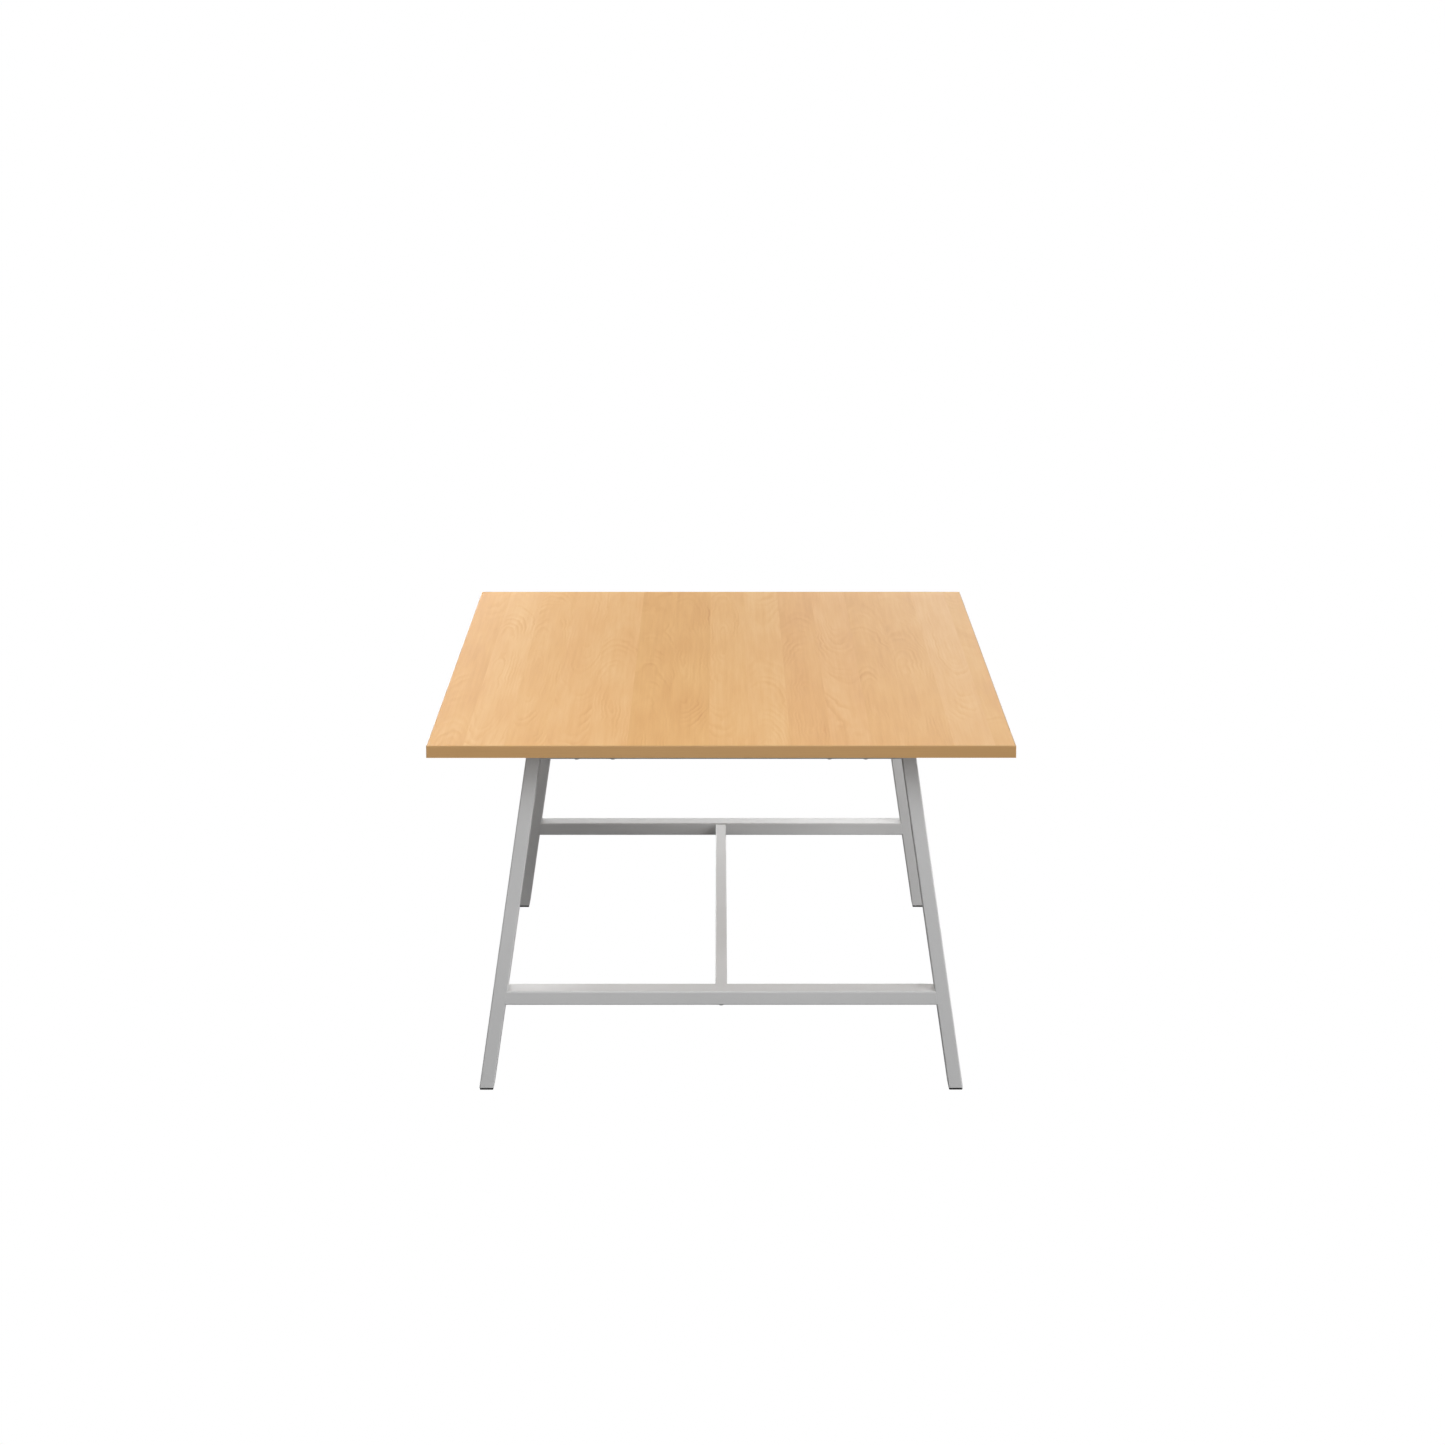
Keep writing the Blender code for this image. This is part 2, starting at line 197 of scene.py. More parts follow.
def makeBeechDecor(look):
    finish, tree, shader, place = startFinish("beechDecor", {"Specular IOR Level": look["sheen"]})
    axes = addNode(tree, "SeparateXYZ", {0: place}).outputs

    def drawsFor(seeded):
        drawn = addNode(tree, "TexWhiteNoise", {"W": seeded}, noise_dimensions="1D").outputs["Color"]
        return addNode(tree, "SeparateColor", {0: drawn}).outputs

    # planks side by side, each with draws of its own
    plank = calc(tree, "DIVIDE", calc(tree, "ADD", axes["X"], look["plankShift"]), look["plankWidth"])
    number = calc(tree, "FLOOR", plank)
    across = calc(tree, "SUBTRACT", calc(tree, "SUBTRACT", plank, number), 0.5)
    seeded = calc(tree, "ADD", number, look["toneSeed"])
    draws = drawsFor(seeded)
    hueDraws = drawsFor(calc(tree, "ADD", number, look["hueSeed"]))

    # fine fibre and broad clouds run along each plank
    along = calc(tree, "MULTIPLY_ADD", draws["Green"], look["stagger"], axes["Y"])
    offset = calc(tree, "MULTIPLY", calc(tree, "SUBTRACT", draws["Blue"], 0.5), look["pithOffset"])
    sideways = calc(tree, "MULTIPLY_ADD", across, look["plankWidth"], offset)
    plankPlace = addNode(tree, "CombineXYZ", {"X": sideways, "Y": along, "Z": seeded}).outputs[0]
    marks = noisesFor(tree, plankPlace, look)
    marks["tone"] = calc(tree, "SUBTRACT", draws["Red"], 0.5)

    # growth rings cut lengthwise: along each plank the pith swings nearer to the face and away again
    swing = calc(tree, "SINE", calc(tree, "MULTIPLY", along, 2 * math.pi / look["swingLength"]))
    swung = calc(tree, "MULTIPLY_ADD", swing, look["pithSwing"], look["pithDepth"])
    depth = calc(tree, "MULTIPLY_ADD", marks["waver"], look["pithWaver"], swung)
    bent = calc(tree, "MULTIPLY_ADD", marks["ripple"], look["ringRipple"], sideways)
    depthSquared = calc(tree, "MULTIPLY", depth, depth)
    radius = calc(tree, "SQRT", calc(tree, "MULTIPLY_ADD", bent, bent, depthSquared))
    evenCount = calc(tree, "DIVIDE", radius, look["ringGap"])
    ringCount = calc(tree, "MULTIPLY_ADD", marks["uneven"], look["ringUneven"], evenCount)

    # each ring darkens slowly and ends quickly, some rings far more than others
    inRing = calc(tree, "FRACT", ringCount)
    darkening = remap(tree, inRing, look["ringDarkens"], smooth=True)
    ending = remap(tree, inRing, look["ringEnds"], smooth=True)
    ringNumber = calc(tree, "MULTIPLY_ADD", seeded, look["ringSeed"], calc(tree, "FLOOR", ringCount))
    drawn = addNode(tree, "TexWhiteNoise", {"W": ringNumber}, noise_dimensions="1D").outputs["Value"]
    strength = calc(tree, "MULTIPLY_ADD", drawn, look["ringSpread"], look["ringFaintest"])
    lateWood = calc(tree, "MULTIPLY", calc(tree, "SUBTRACT", darkening, ending), strength)
    patchy = remap(tree, marks["patches"], look["patchRange"], look["patchStrength"])
    marks["figure"] = calc(tree, "MULTIPLY", calc(tree, "SUBTRACT", look["lateWoodMean"], lateWood), patchy)

    # the short dark ray flecks of beech
    dashes = stretchedNoise(tree, place, **look["dashes"])
    marks["flecks"] = remap(tree, dashes, look["fleckRange"])

    ramp = addNode(tree, "ValToRGB", {0: weighedSum(tree, look["shade"], marks, look["shadeShares"])})
    stops = ramp.color_ramp.elements
    stops[0].color = look["darkest"]
    stops[1].color = look["lightest"]
    stops.new(0.5).color = look["middle"]
    hue = mixColours(tree, hueDraws["Red"], look["pinkish"], look["yellowish"])
    tinted = mixColours(tree, 1.0, ramp.outputs["Color"], hue, "MULTIPLY")
    tree.links.new(tinted, shader.inputs["Base Color"])
    addGloss(tree, shader, look, marks)
    addRelief(tree, shader, look, marks)
    return finish


edgingLook = {
    "dark": (0.419, 0.238, 0.093, 1),
    "light": (0.500, 0.294, 0.118, 1),
    "noises": {  # along a strip, then up it
        "grain": {"scale": (6, 420, 1), "detail": 4, "roughness": 0.6},
        "clouds": {"scale": (9, 30, 1)},
        "ticks": {"scale": (150, 1600, 1), "detail": 1},
    },
    "shade": 0.5,
    "shadeShares": {"grain": 0.9, "clouds": 0.5, "ticks": 0.35},
    "roughness": 0.50,
    "glossShares": {"grain": 0.15},
    "reliefShares": {"grain": 1.0},
    "reliefStrength": 0.05,
    "reliefDepth": 0.0002,
}


def makeBeechEdging(look):
    finish, tree, shader, place = startFinish("beechEdging")
    axes = addNode(tree, "SeparateXYZ", {0: place}).outputs
    # a strip runs along X or along Y, so their sum runs along any strip
    along = calc(tree, "ADD", axes["X"], axes["Y"])
    run = addNode(tree, "CombineXYZ", {"X": along, "Y": axes["Z"]}).outputs[0]
    dress(tree, shader, look, noisesFor(tree, run, look))
    return finish


coatLook = {
    "dark": (0.562, 0.562, 0.562, 1),
    "light": (0.663, 0.663, 0.663, 1),
    "noises": {
        "flake": {"scale": (2600, 2600, 2600), "detail": 1},
        "clouds": {"scale": (7, 7, 7), "detail": 3},
        "peel": {"scale": (420, 420, 420), "detail": 1.5},
    },
    "shade": 0.5,
    "shadeShares": {"flake": 0.9, "clouds": 0.5, "peel": 0.2},
    "metallic": 0.15,
    "roughness": 0.40,
    "glossShares": {"flake": 0.12, "clouds": 0.06},
    "reliefShares": {"peel": 1.0, "flake": 0.12},
    "reliefStrength": 0.10,
    "reliefDepth": 0.0004,
}


def makeSilverGreyCoat(look):
    finish, tree, shader, place = startFinish("silverGreyCoat", {"Metallic": look["metallic"]})
    dress(tree, shader, look, noisesFor(tree, place, look))
    return finish


plasticLook = {
    "dark": (0.014, 0.014, 0.015, 1),
    "light": (0.034, 0.034, 0.035, 1),
    "noises": {
        "grain": {"scale": (2200, 2200, 2200)},
        "scuffs": {"scale": (60, 700, 400), "detail": 3, "roughness": 0.7},
    },
    "shade": 0.45,
    "shadeShares": {"grain": 0.6, "scuffs": 0.8},
    "roughness": 0.55,
    "glossShares": {"scuffs": 0.3},
    "reliefShares": {"grain": 1.0},
    "reliefStrength": 0.12,
    "reliefDepth": 0.0003,
}


def makeBlackPlastic(look):
    finish, tree, shader, place = startFinish("blackPlastic")
    dress(tree, shader, look, noisesFor(tree, place, look))
    return finish


metalLooks = {
    "zincPlate": {
        "dark": (0.46, 0.47, 0.50, 1),
        "light": (0.66, 0.64, 0.58, 1),
        "metallic": 0.35,
        "roughness": 0.40,
        "grain": (900, 900, 900),
    },
    "bareSteel": {
        "dark": (0.30, 0.30, 0.31, 1),
        "light": (0.50, 0.50, 0.50, 1),
        "metallic": 1.0,
        "roughness": 0.40,
        "grain": (1600, 40, 1600),  # drawn along Y
    },
    "insertBrass": {
        "dark": (0.52, 0.37, 0.14, 1),
        "light": (0.70, 0.54, 0.26, 1),
        "metallic": 1.0,
        "roughness": 0.36,
        "grain": (1200, 1200, 300),
    },
}
metalMarks = {
    "fineness": {"detail": 3, "roughness": 0.6},
    "tint": (90, 90, 90),
    "shade": 0.5,
    "shadeShares": {"grain": 0.8, "tint": 0.9},
    "glossShares": {"grain": 0.25},
    "reliefShares": {"grain": 1.0},
    "reliefStrength": 0.08,
    "reliefDepth": 0.0002,
}


def makeMetal(name, look):
    finish, tree, shader, place = startFinish(name, {"Metallic": look["metallic"]})
    grain = stretchedNoise(tree, place, look["grain"], **metalMarks["fineness"])
    tint = stretchedNoise(tree, place, metalMarks["tint"])
    dress(tree, shader, metalMarks | look, {"grain": grain, "tint": tint})
    return finish


beechDecor = makeBeechDecor(beechLook)
beechEdging = makeBeechEdging(edgingLook)
silverGreyCoat = makeSilverGreyCoat(coatLook)
blackPlastic = makeBlackPlastic(plasticLook)
zincPlate, bareSteel, insertBrass = (makeMetal(name, look) for name, look in metalLooks.items())
print("finishes made:", len(bpy.data.materials))


# Mesh helpers
meshForm = {
    "cornerSteps": 8,
    "sharpFrom": 40,  # degrees
    "sliver": 0.000002,
    "sameLevel": 0.000001,
}


def turnsRound(count):
    return [2 * math.pi * step / count for step in range(count)]


def discLoop(middle, radius, level, count):
    return [
        (middle.x + radius * math.cos(turn), middle.y + radius * math.sin(turn), level)
        for turn in turnsRound(count)
    ]


def roundedOutline(width, depth, radius):
    steps = meshForm["cornerSteps"]
    points = []
    for quarter in range(4):
        start = quarter * math.pi / 2
        middle = start + math.pi / 4
        centreX = math.copysign(width / 2 - radius, math.cos(middle))
        centreY = math.copysign(depth / 2 - radius, math.sin(middle))
        for step in range(steps + 1):
            angle = start + step * math.pi / 2 / steps
            points.append((centreX + radius * math.cos(angle), centreY + radius * math.sin(angle)))
    return points


def skin(loops, ring=False, lid=True, bm=None):
    # a body through loops of equally many points, closed on itself as a ring or capped at its ends
    bm = bm or bmesh.new()
    rows = [[bm.verts.new(point) for point in loop] for loop in loops]
    pairs = list(zip(rows, rows[1:]))
    if ring:
        pairs.append((rows[-1], rows[0]))
    else:
        bm.faces.new(rows[0])
        if lid:
            bm.faces.new(rows[-1])
    for lower, upper in pairs:
        for place in range(len(lower)):
            after = (place + 1) % len(lower)
            bm.faces.new((lower[place], lower[after], upper[after], upper[place]))
    return bm


def boxBody(low, high):
    outline = [(low[0], low[1]), (high[0], low[1]), (high[0], high[1]), (low[0], high[1])]
    return skin([[(x, y, level) for x, y in outline] for level in (low[2], high[2])])


def addObject(name, bm):
    bmesh.ops.recalc_face_normals(bm, faces=bm.faces)
    mesh = bpy.data.meshes.new(name)
    bm.to_mesh(mesh)
    bm.free()
    made = bpy.data.objects.new(name, mesh)
    bpy.context.scene.collection.objects.link(made)
    return made


def pieceName(node):
    # front_left_leg is shown as frontLeftLeg
    first, *rest = node.split("_")
    return first + "".join(word.title() for word in rest)


def addPiece(name, bm, finish, slotName, *replaced):
    piece = addObject(name, bm)
    piece.data.shade_smooth()
    piece.data.set_sharp_from_angle(angle=math.radians(meshForm["sharpFrom"]))
    piece.data.materials.append(finish)
    evened = piece.modifiers.new("evenNormals", "WEIGHTED_NORMAL")  # flats stay flat beside round corners
    evened.keep_sharp = True
    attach(piece, "root")
    if replaced:
        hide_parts(*replaced)


def cutAway(bm, cutterBm):
    target = addObject("cutTarget", bm)
    cutter = addObject("cutter", cutterBm)
    cut = target.modifiers.new("cut", "BOOLEAN")
    cut.operation = "DIFFERENCE"
    cut.solver = "EXACT"
    cut.object = cutter
    result = bmesh.new()
    result.from_object(target, bpy.context.evaluated_depsgraph_get())
    bmesh.ops.dissolve_degenerate(result, dist=meshForm["sliver"], edges=result.edges)
    for spent in (target, cutter):
        bpy.data.objects.remove(spent, do_unlink=True)
    return result


def middleOf(node):
    low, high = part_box(node)
    return (low + high) / 2


# The top: the board stays as it is and takes the decor, the edging is rounded finer and closes up to it
edging = {"arris": 0.0018, "steps": 6, "jointChamfer": 0.00015}

nodes["top_board"].data.materials.clear()
nodes["top_board"].data.materials.append(beechDecor)
boardLow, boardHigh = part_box("top_board")


def makeEdgeBand(name, axis, outward, stop):
    # axis 0 is a side strip and 1 an end strip; stop is how far the strip runs each way from the middle
    low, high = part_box(name)
    face = (low if outward < 0 else high)[axis]
    inner = (boardLow if outward < 0 else boardHigh)[axis]
    low[axis], high[axis] = sorted((face, inner))
    low[1 - axis], high[1 - axis] = -stop, stop
    bm = boxBody(low, high)

    def edgesOn(level, uprightToo):
        found = []
        for edge in bm.edges:
            gaps = [abs(vert.co[axis] - level) for vert in edge.verts]
            upright = abs(edge.verts[0].co.z - edge.verts[1].co.z) > edging["arris"]
            if max(gaps) <= meshForm["sameLevel"] and (uprightToo or not upright):
                found.append(edge)
        return found

    def bevel(edges, offset, segments):
        bmesh.ops.bevel(bm, geom=edges, offset=offset, segments=segments, profile=0.5, affect="EDGES")

    bevel(edgesOn(inner, False), edging["jointChamfer"], 1)
    bevel(edgesOn(face, axis == 1), edging["arris"], edging["steps"])
    addPiece(pieceName(name), bm, beechEdging, "beech_edging", name)


for name, outward in (("front_edge_band", -1), ("rear_edge_band", 1)):
    makeEdgeBand(name, 1, outward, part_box(name)[1].x)
for name, outward in (("left_edge_band", -1), ("right_edge_band", 1)):
    makeEdgeBand(name, 0, outward, boardHigh.y)
print("top made")


# The end frames, welded from one size of tube; where the legs run is worked out from the CAD boxes
tubeStock = {"corner": 0.003, "wall": 0.002, "rim": 0.0003}

railLow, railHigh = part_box("front_top_rail")
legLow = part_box("front_left_leg")[0]
stretcherLow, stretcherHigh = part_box("front_cross_stretcher")
tubeStock["width"] = stretcherHigh.z - stretcherLow.z
tubeStock["depth"] = stretcherHigh.y - stretcherLow.y
frameTop = railHigh.z
slope = (-legLow.x - railHigh.x) / (frameTop - legLow.z)
lean = math.atan(slope)
legLevelWidth = tubeStock["width"] / math.cos(lean)


def legOuter(level):
    return railHigh.x + (frameTop - level) * slope


def legInner(level):
    return legOuter(level) - legLevelWidth


def legMiddle(level):
    return legOuter(level) - legLevelWidth / 2


def legAxis(side):
    return Vector((-side * math.sin(lean), 0, math.cos(lean)))


def legAcross(side):
    return Vector((side * math.cos(lean), 0, math.sin(lean)))


def cutTube(stock, centre, axis, across, startCut, endCut):
    # each cut is a plane, as a point and a normal
    deep = axis.cross(across)

    def loop(shrink, cut, back):
        width = stock["width"] - 2 * shrink
        depth = stock["depth"] - 2 * shrink
        points = []
        for a, b in roundedOutline(width, depth, stock["corner"] - shrink):
            start = centre + across * a + deep * b
            reach = (cut[0] - start).dot(cut[1]) / axis.dot(cut[1])
            points.append(start + axis * (reach + back))
        return points

    rim, wall = stock["rim"], stock["wall"]
    loops = [
        loop(rim, startCut, 0),
        loop(0, startCut, rim),
        loop(0, endCut, -rim),
        loop(rim, endCut, 0),
        loop(wall - rim, endCut, 0),
        loop(wall, endCut, -rim),
        loop(wall, startCut, rim),
        loop(wall - rim, startCut, 0),
    ]
    return skin(loops, ring=True)


def mitreEnds(side, y):
    outer = Vector((side * railHigh.x, y, frameTop))
    inner = Vector((side * legInner(railLow.z), y, railLow.z))
    return outer, inner


def mitreCut(side, y):
    outer, inner = mitreEnds(side, y)
    return outer, (outer - inner).cross(alongY).normalized()


def makeLeg(end, sideName, side):
    name = f"{end}_{sideName}_leg"
    y = middleOf(name).y
    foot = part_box(name)[0].z
    centre = Vector((side * legMiddle(foot), y, foot))
    bm = cutTube(tubeStock, centre, legAxis(side), legAcross(side), (centre, up), mitreCut(side, y))
    addPiece(pieceName(name), bm, silverGreyCoat, "silver_grey_coat", name)


screwHoles = {"topRadius": 0.0033, "beamRadius": 0.0043, "overrun": 0.004, "sidesRound": 32}
tongueWindow = {"spare": 0.0003, "overrun": 0.004}


def drillRods(places, radius, low, high):
    bm = bmesh.new()
    for place in places:
        skin([discLoop(place, radius, level, screwHoles["sidesRound"]) for level in (low, high)], bm=bm)
    return bm


def makeRail(end):
    name = end + "_top_rail"
    centre = middleOf(name)
    bm = cutTube(tubeStock, centre, alongX, up, mitreCut(-1, centre.y), mitreCut(1, centre.y))
    places = [middleOf(f"{end}_top_bolt_{number}") for number in topScrews]
    low = railLow.z - screwHoles["overrun"]
    high = railHigh.z + screwHoles["overrun"]
    bm = cutAway(bm, drillRods(places, screwHoles["topRadius"], low, high))
    addPiece(pieceName(name), bm, silverGreyCoat, "silver_grey_coat", name)


def legFaceCut(side, y, level):
    return Vector((side * legInner(level), y, level)), legAcross(side)


def tongueOpening(end, y):
    # goes through the stretcher's inner wall only
    low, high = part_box(end + "_beam_tongue")
    spare = Vector((tongueWindow["spare"],) * 3)
    low, high = low - spare, high + spare
    inward = -math.copysign(1, y)
    wallAt = y + inward * (tubeStock["depth"] / 2 - tubeStock["corner"])
    outAt = y + inward * (tubeStock["depth"] / 2 + tongueWindow["overrun"])
    low.y, high.y = sorted((wallAt, outAt))
    return boxBody(low, high)


def makeStretcher(end):
    name = end + "_cross_stretcher"
    centre = middleOf(name)
    cuts = [legFaceCut(side, centre.y, centre.z) for side in sides.values()]
    bm = cutTube(tubeStock, centre, alongX, up, *cuts)
    low = stretcherLow.z - screwHoles["overrun"]
    high = stretcherLow.z + tubeStock["wall"] + screwHoles["overrun"]
    bm = cutAway(bm, drillRods([centre], screwHoles["beamRadius"], low, high))
    bm = cutAway(bm, tongueOpening(end, centre.y))
    addPiece(pieceName(name), bm, silverGreyCoat, "silver_grey_coat", name)


beamStock = {"corner": 0.0023, "wall": 0.002, "rim": 0.0003}


def makeBeam():
    low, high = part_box("centre_beam")
    beamStock["width"] = beamStock["depth"] = high.x - low.x
    reach = -stretcherHigh.y  # up to the stretchers' inner faces
    centre = middleOf("centre_beam")
    cuts = [(centre + alongY * way * reach, alongY) for way in (-1, 1)]
    bm = cutTube(beamStock, centre, alongY, alongX, *cuts)
    addPiece("centreBeam", bm, silverGreyCoat, "silver_grey_coat", "centre_beam")


for end in ends:
    for sideName, side in sides.items():
        makeLeg(end, sideName, side)
    makeRail(end)
    makeStretcher(end)
makeBeam()
print("frames and beam made")


# Weld beads, nearly flush: round the stretchers' ends, round the mitres and in the mitres' inner corners
weld = {
    "radius": 0.0021,
    "inset": 0.0020,
    "intoLeg": 0.0006,
    "ripple": 0.008,
    "rippleGap": 0.0022,
    "perRipple": 4,
    "sidesRound": 16,
    "endStart": 0.15,  # how far an open bead has swollen at its very ends
}


def beadLoop(middle, first, second, radius):
    turns = turnsRound(weld["sidesRound"])
    return [middle + (first * math.cos(turn) + second * math.sin(turn)) * radius for turn in turns]


def rippled(step):
    return weld["radius"] * (1 + weld["ripple"] * math.sin(2 * math.pi * step / weld["perRipple"]))


def evenPoints(outline, count):
    # points spaced evenly round a closed outline
    closed = outline + outline[:1]
    lengths = [math.dist(a, b) for a, b in zip(closed, closed[1:])]
    wanted = [sum(lengths) * i / count for i in range(count)]
    points, walked, piece = [], 0.0, 0
    for goal in wanted:
        while walked + lengths[piece] < goal:
            walked += lengths[piece]
            piece += 1
        share = (goal - walked) / lengths[piece]
        points.append(Vector(closed[piece]).lerp(Vector(closed[piece + 1]), share))
    return points


def weldOutline():
    width = tubeStock["width"] - 2 * weld["inset"]
    depth = tubeStock["depth"] - 2 * weld["inset"]
    return roundedOutline(width, depth, tubeStock["corner"] - weld["inset"])


def weldRing(outline, wide, seam, toPlace):
    # a bead round an outline that runs along wide and Y; toPlace puts a point of it on the frame
    girth = sum(math.dist(a, b) for a, b in zip(outline, outline[1:] + outline[:1]))
    count = round(girth / weld["rippleGap"]) * weld["perRipple"]
    points = evenPoints(outline, count)
    loops = []
    for step, (a, b) in enumerate(points):
        travel = (points[(step + 1) % count] - points[step - 1]).normalized()
        outward = wide * travel.y - alongY * travel.x
        loops.append(beadLoop(toPlace(a, b), outward, seam, rippled(step)))
    return skin(loops, ring=True)


def makeStretcherWeld(end, sideName, side):
    centre = middleOf(end + "_cross_stretcher")

    def toPlace(rise, out):
        level = centre.z + rise
        return Vector((side * (legInner(level) + weld["intoLeg"]), centre.y + out, level))

    bm = weldRing(weldOutline(), up, alongX, toPlace)
    addPiece(f"{end}{sideName.title()}StretcherWeld", bm, silverGreyCoat, "silver_grey_coat")


def makeMitreWeld(end, sideName, side):
    outer, inner = mitreEnds(side, middleOf(end + "_top_rail").y)
    middle = (outer + inner) / 2
    slant = (outer - inner).normalized()
    stretch = (outer - inner).length / tubeStock["width"]
    outline = [(a * stretch, b) for a, b in weldOutline()]

    def toPlace(a, b):
        return middle + slant * a + alongY * b

    bm = weldRing(outline, slant, slant.cross(alongY), toPlace)
    addPiece(f"{end}{sideName.title()}MitreWeld", bm, silverGreyCoat, "silver_grey_coat")


def makeCornerWeld(end, sideName, side):
    corner = mitreEnds(side, middleOf(end + "_top_rail").y)[1]
    reach = tubeStock["depth"] / 2 - tubeStock["corner"]
    count = round(2 * reach / weld["rippleGap"]) * weld["perRipple"]
    loops = []
    for step in range(count + 1):
        toEnd = min(step, count - step) / weld["perRipple"]  # ripples from the nearer end
        swell = math.sqrt(min(1.0, weld["endStart"] + toEnd))
        middle = corner + alongY * (reach * (2 * step / count - 1))
        loops.append(beadLoop(middle, alongX, up, rippled(step) * swell))
    addPiece(f"{end}{sideName.title()}CornerWeld", skin(loops), silverGreyCoat, "silver_grey_coat")


for end in ends:
    for sideName, side in sides.items():
        makeStretcherWeld(end, sideName, side)
        makeMitreWeld(end, sideName, side)
        makeCornerWeld(end, sideName, side)
print("welds made")


# Foot glides: a pad with a soft rim, and a hollow plug with lamellae that grip the leg's bore
glide = {
    "padThickness": 0.004,
    "padInset": 0.001,
    "rim": 0.0008,
    "rimSteps": 4,
    "upperRim": 0.0002,
    "plugHeight": 0.018,
    "plugWall": 0.0018,
    "plugSpare": 0.0003,
    "plugTaper": 0.0006,
    "lamellae": 4,
    "lamellaStart": 0.0016,
    "lamellaReach": 0.0012,
    "lamellaThickness": 0.0009,
    "lamellaGap": 0.0038,
}


def makeGlide(end, sideName, side):
    name = f"{end}_{sideName}_foot_glide"
    y = middleOf(name).y
    padTop = glide["padThickness"]

    def loop(inset, corner, level):
        middle = side * legMiddle(max(level, padTop))
        width = legLevelWidth - 2 * inset
        depth = tubeStock["depth"] - 2 * inset
        return [(middle + a, y + b, level) for a, b in roundedOutline(width, depth, corner)]

    def pad(shrink, level):
        return loop(glide["padInset"] + shrink, tubeStock["corner"] - glide["padInset"], level)

    def plug(shrink, level):
        inset = tubeStock["wall"] / math.cos(lean) + glide["plugSpare"] + shrink
        return loop(inset, tubeStock["corner"] - tubeStock["wall"], level)

    loops = []
    for step in range(glide["rimSteps"] + 1):  # the rim rolls up from the floor
        turn = step / glide["rimSteps"] * math.pi / 2
        loops.append(pad(glide["rim"] * (1 - math.sin(turn)), glide["rim"] * (1 - math.cos(turn))))
    loops.append(pad(0, padTop - glide["upperRim"]))
    loops.append(pad(glide["upperRim"], padTop))
    core = glide["lamellaReach"]
    loops.append(plug(core, padTop))
    for number in range(glide["lamellae"]):
        level = padTop + glide["lamellaStart"] + number * glide["lamellaGap"]
        loops.append(plug(core, level))
        loops.append(plug(0, level + glide["lamellaThickness"] / 2))
        loops.append(plug(0, level + glide["lamellaThickness"]))
        loops.append(plug(core, level + 2 * glide["lamellaThickness"]))
    plugTop = padTop + glide["plugHeight"]
    loops.append(plug(core + glide["plugTaper"], plugTop))
    loops.append(plug(core + glide["plugWall"], plugTop))
    loops.append(plug(core + glide["plugWall"], padTop))
    addPiece(pieceName(name), skin(loops), blackPlastic, "black_plastic", name)


for end in ends:
    for sideName, side in sides.items():
        makeGlide(end, sideName, side)
print("glides made")


# Button-head screws with a hexagon socket, and their washers
screwSizes = {
    "top": {
        "head": 0.0112,
        "headHeight": 0.0047,
        "dome": 0.0030,
        "flat": 0.0074,
        "socket": 0.004,
        "socketDepth": 0.0026,
        "shank": 0.006,
    },
    "beam": {
        "head": 0.013,
        "headHeight": 0.0066,
        "dome": 0.0046,
        "flat": 0.0066,
        "socket": 0.005,
        "socketDepth": 0.0034,
        "shank": 0.008,
    },
}
screwForm = {
    "sidesRound": 72,  # a multiple of six for the socket
    "domeSteps": 8,
    "chamfer": 0.0005,
    "drillPoint": 0.0008,
    "drillFlat": 1 / 12,  # radius, as a share of the socket's width
    "socketMouth": 0.6,  # radius, as the same share
    "neck": 0.0004,
}


def screwLoop(middle, radius, level):
    return discLoop(middle, radius, level, screwForm["sidesRound"])


def hexLoop(middle, acrossFlats, level):
    points = []
    for turn in turnsRound(screwForm["sidesRound"]):
        reach = acrossFlats / 2 / math.cos(turn % (math.pi / 3) - math.pi / 6)
        points.append((middle.x + reach * math.cos(turn), middle.y + reach * math.sin(turn), level))
    return points


def makeScrew(node, size, seat):
    middle = middleOf(node)
    face = seat - size["headHeight"]
    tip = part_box(node)[1].z
    head = size["head"] / 2
    flat = size["flat"] / 2
    shank = size["shank"] / 2
    chamfer = screwForm["chamfer"]
    socketFloor = face + size["socketDepth"]
    loops = [
        screwLoop(middle, size["socket"] * screwForm["drillFlat"], socketFloor + screwForm["drillPoint"]),
        hexLoop(middle, size["socket"], socketFloor),
        hexLoop(middle, size["socket"], face + chamfer / 3),
        screwLoop(middle, size["socket"] * screwForm["socketMouth"], face),
    ]
    for step in range(screwForm["domeSteps"] + 1):
        turn = step / screwForm["domeSteps"] * math.pi / 2
        radius = flat + (head - flat) * math.sin(turn)
        loops.append(screwLoop(middle, radius, face + size["dome"] * (1 - math.cos(turn))))
    loops += [
        screwLoop(middle, head, seat - chamfer / 2),
        screwLoop(middle, head - chamfer / 2, seat),
        screwLoop(middle, shank + screwForm["neck"], seat),
        screwLoop(middle, shank, seat + screwForm["neck"]),
        screwLoop(middle, shank, tip - chamfer),
        screwLoop(middle, shank - chamfer, tip),
    ]
    addPiece(pieceName(node), skin(loops), zincPlate, "zinc_plate", node)


washerForm = {"edge": 0.00035, "boreSpare": 0.0003}


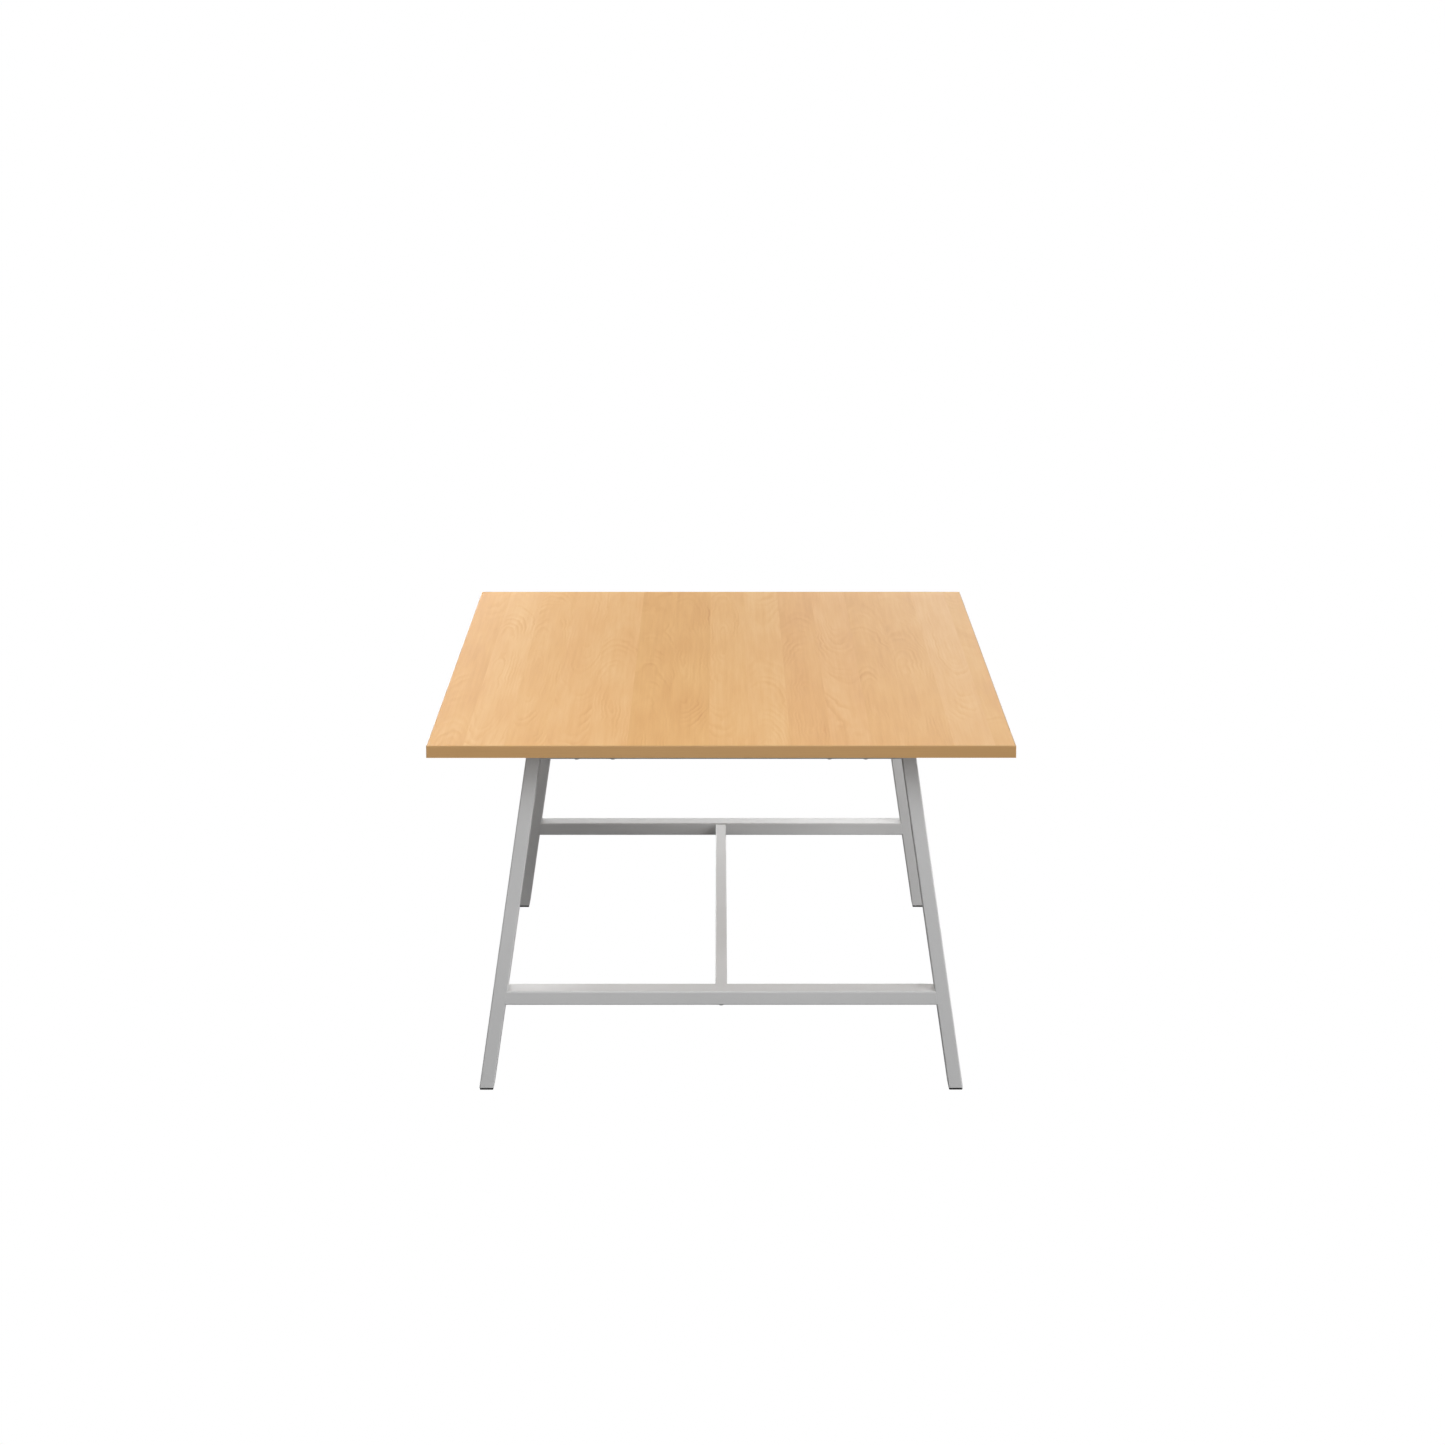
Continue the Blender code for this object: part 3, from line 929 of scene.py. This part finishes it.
def makeWasher(node, size):
    low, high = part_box(node)
    middle = (low + high) / 2
    outside = (high.x - low.x) / 2
    bore = size["shank"] / 2 + washerForm["boreSpare"]
    edge = washerForm["edge"]
    loops = [
        screwLoop(middle, bore, low.z),
        screwLoop(middle, outside - edge, low.z),
        screwLoop(middle, outside - edge / 3, low.z + edge / 3),
        screwLoop(middle, outside, low.z + edge),
        screwLoop(middle, outside, high.z - edge / 3),
        screwLoop(middle, outside - edge / 3, high.z),
        screwLoop(middle, bore, high.z),
    ]
    addPiece(pieceName(node), skin(loops, ring=True), zincPlate, "zinc_plate", node)


def fasten(bolt, washer, size):
    makeScrew(bolt, size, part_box(washer)[0].z)
    makeWasher(washer, size)


for end in ends:
    fasten(end + "_beam_bolt", end + "_beam_washer", screwSizes["beam"])
    for number in topScrews:
        fasten(f"{end}_top_bolt_{number}", f"{end}_top_washer_{number}", screwSizes["top"])

# hidden inside: the tongues and the inserts keep their CAD shape
hiddenFinishes = {"_beam_tongue": bareSteel, "_top_insert_": insertBrass}
for name, node in nodes.items():
    for part, finish in hiddenFinishes.items():
        if part in name:
            node.data.materials.clear()
            node.data.materials.append(finish)
print("fasteners made")


# The stage: a pale floor, soft light and the camera
stage = {
    "floorReach": 40.0,
    "floorSides": 96,
    "sweepRadius": 15.0,  # the floor curves up into a wall of this height all round
    "sweepSteps": 12,
    "floorColour": (1, 1, 1, 1),
    "glow": 1.0,  # just white
    "lightsAim": (0, 0, 0.5),
    "cameraPlace": (-0.0042, -8.1995, 2.3777),
    "cameraPitch": 12.0563,  # degrees below the horizon
    "cameraYaw": -0.0537,
    "lens": 91.618,
}


def makeFloor():
    middle = Vector((0, 0))
    loops = []
    for step in range(stage["sweepSteps"] + 1):
        climb = step / stage["sweepSteps"] * math.pi / 2
        reach = stage["floorReach"] + stage["sweepRadius"] * math.sin(climb)
        level = stage["sweepRadius"] * (1 - math.cos(climb))
        loops.append(discLoop(middle, reach, level, stage["floorSides"]))
    floor = addObject("studioFloor", skin(loops, lid=False))
    finish = bpy.data.materials.new("studioFloor")
    finish.use_nodes = True
    tree = finish.node_tree
    glow = addNode(tree, "Emission", {"Color": stage["floorColour"], "Strength": stage["glow"]})
    tree.links.new(glow.outputs[0], tree.nodes["Material Output"].inputs["Surface"])
    floor.data.materials.append(finish)
    floor.visible_diffuse = False
    floor.visible_glossy = False
    floor.visible_shadow = False


# each light's turn is in degrees round from the camera's side towards the right
softboxes = {
    "front": {"turn": 0, "out": 3.6, "height": 1.2, "size": 2.0, "power": 23.5},
    "frontHigh": {"turn": 0, "out": 1.2, "height": 2.6, "size": 0.8, "power": 10.7},
    "right": {"turn": 60, "out": 3.6, "height": 1.2, "size": 2.0, "power": 33.2},
    "rightLow": {"turn": 95, "out": 2.7, "height": 1.1, "size": 2.0, "power": 21.5},
    "rightBack": {"turn": 160, "out": 3.6, "height": 1.6, "size": 1.0, "power": 13.8},
    "backRight": {"turn": 170, "out": 3.6, "height": 1.6, "size": 1.0, "power": 8.2},
    "backLow": {"turn": 180, "out": 3.6, "height": 0.9, "size": 1.0, "power": 3.4},
    "backLeft": {"turn": 205, "out": 3.6, "height": 1.2, "size": 2.0, "power": 47.4},
    "leftBack": {"turn": 230, "out": 3.6, "height": 2.4, "size": 3.2, "power": 70.8},
    "left": {"turn": 265, "out": 3.6, "height": 2.4, "size": 3.2, "power": 61.5},
    "leftFront": {"turn": 315, "out": 2.7, "height": 1.1, "size": 1.0, "power": 4.6},
    "leftHigh": {"turn": 330, "out": 2.4, "height": 3.2, "size": 1.2, "power": 9.7},
}
keyLight = {"turn": 40, "rise": 33, "spread": 26, "strength": 1.85, "distance": 5}
floorBounce = {"colour": (1, 1, 1, 1), "strength": 0.239}


def turnedSpot(turn, out, height):
    angle = math.radians(turn)
    return Vector((out * math.sin(angle), -out * math.cos(angle), height))


def aimLamp(name, lamp, spot, target):
    made = bpy.data.objects.new(name, lamp)
    made.location = spot
    made.rotation_mode = "QUATERNION"
    made.rotation_quaternion = (target - spot).to_track_quat("-Z", "Y")
    made.visible_camera = False
    bpy.context.scene.collection.objects.link(made)
    return made


def makeSoftboxes(target):
    for name, light in softboxes.items():
        lamp = bpy.data.lights.new(name, "AREA")
        lamp.shape = "DISK"
        lamp.size = light["size"]
        lamp.energy = light["power"]
        aimLamp(name, lamp, turnedSpot(light["turn"], light["out"], light["height"]), target)


def makeKeyLight(target):
    lamp = bpy.data.lights.new("keyLight", "SUN")
    lamp.angle = math.radians(keyLight["spread"])
    lamp.energy = keyLight["strength"]
    rise = math.radians(keyLight["rise"])
    outward = turnedSpot(keyLight["turn"], math.cos(rise), math.sin(rise))
    key = aimLamp("keyLight", lamp, target + keyLight["distance"] * outward, target)
    key.visible_glossy = False  # no glare on the tubes seen from the far side


def makeFloorBounce():
    # soft light from below, strongest straight up
    world = bpy.data.worlds.new("floorBounce")
    world.use_nodes = True
    tree = world.node_tree
    background = tree.nodes["Background"]
    background.inputs["Color"].default_value = floorBounce["colour"]
    direction = addNode(tree, "TexCoord").outputs["Generated"]
    axes = addNode(tree, "SeparateXYZ", {0: direction}).outputs
    below = calc(tree, "MINIMUM", axes["Z"], 0.0)
    glow = calc(tree, "MULTIPLY", calc(tree, "MULTIPLY", below, below), floorBounce["strength"])
    tree.links.new(glow, background.inputs["Strength"])
    bpy.context.scene.world = world


def makeCamera():
    camera = bpy.data.cameras.new("camera")
    camera.lens = stage["lens"]
    made = bpy.data.objects.new("camera", camera)
    made.location = stage["cameraPlace"]
    made.rotation_euler = (math.radians(90 - stage["cameraPitch"]), 0, math.radians(stage["cameraYaw"]))
    bpy.context.scene.collection.objects.link(made)
    bpy.context.scene.camera = made


lightsAim = Vector(stage["lightsAim"])
makeFloor()
makeSoftboxes(lightsAim)
makeKeyLight(lightsAim)
makeFloorBounce()
makeCamera()
bpy.context.scene.view_settings.view_transform = "Standard"
print("stage set")
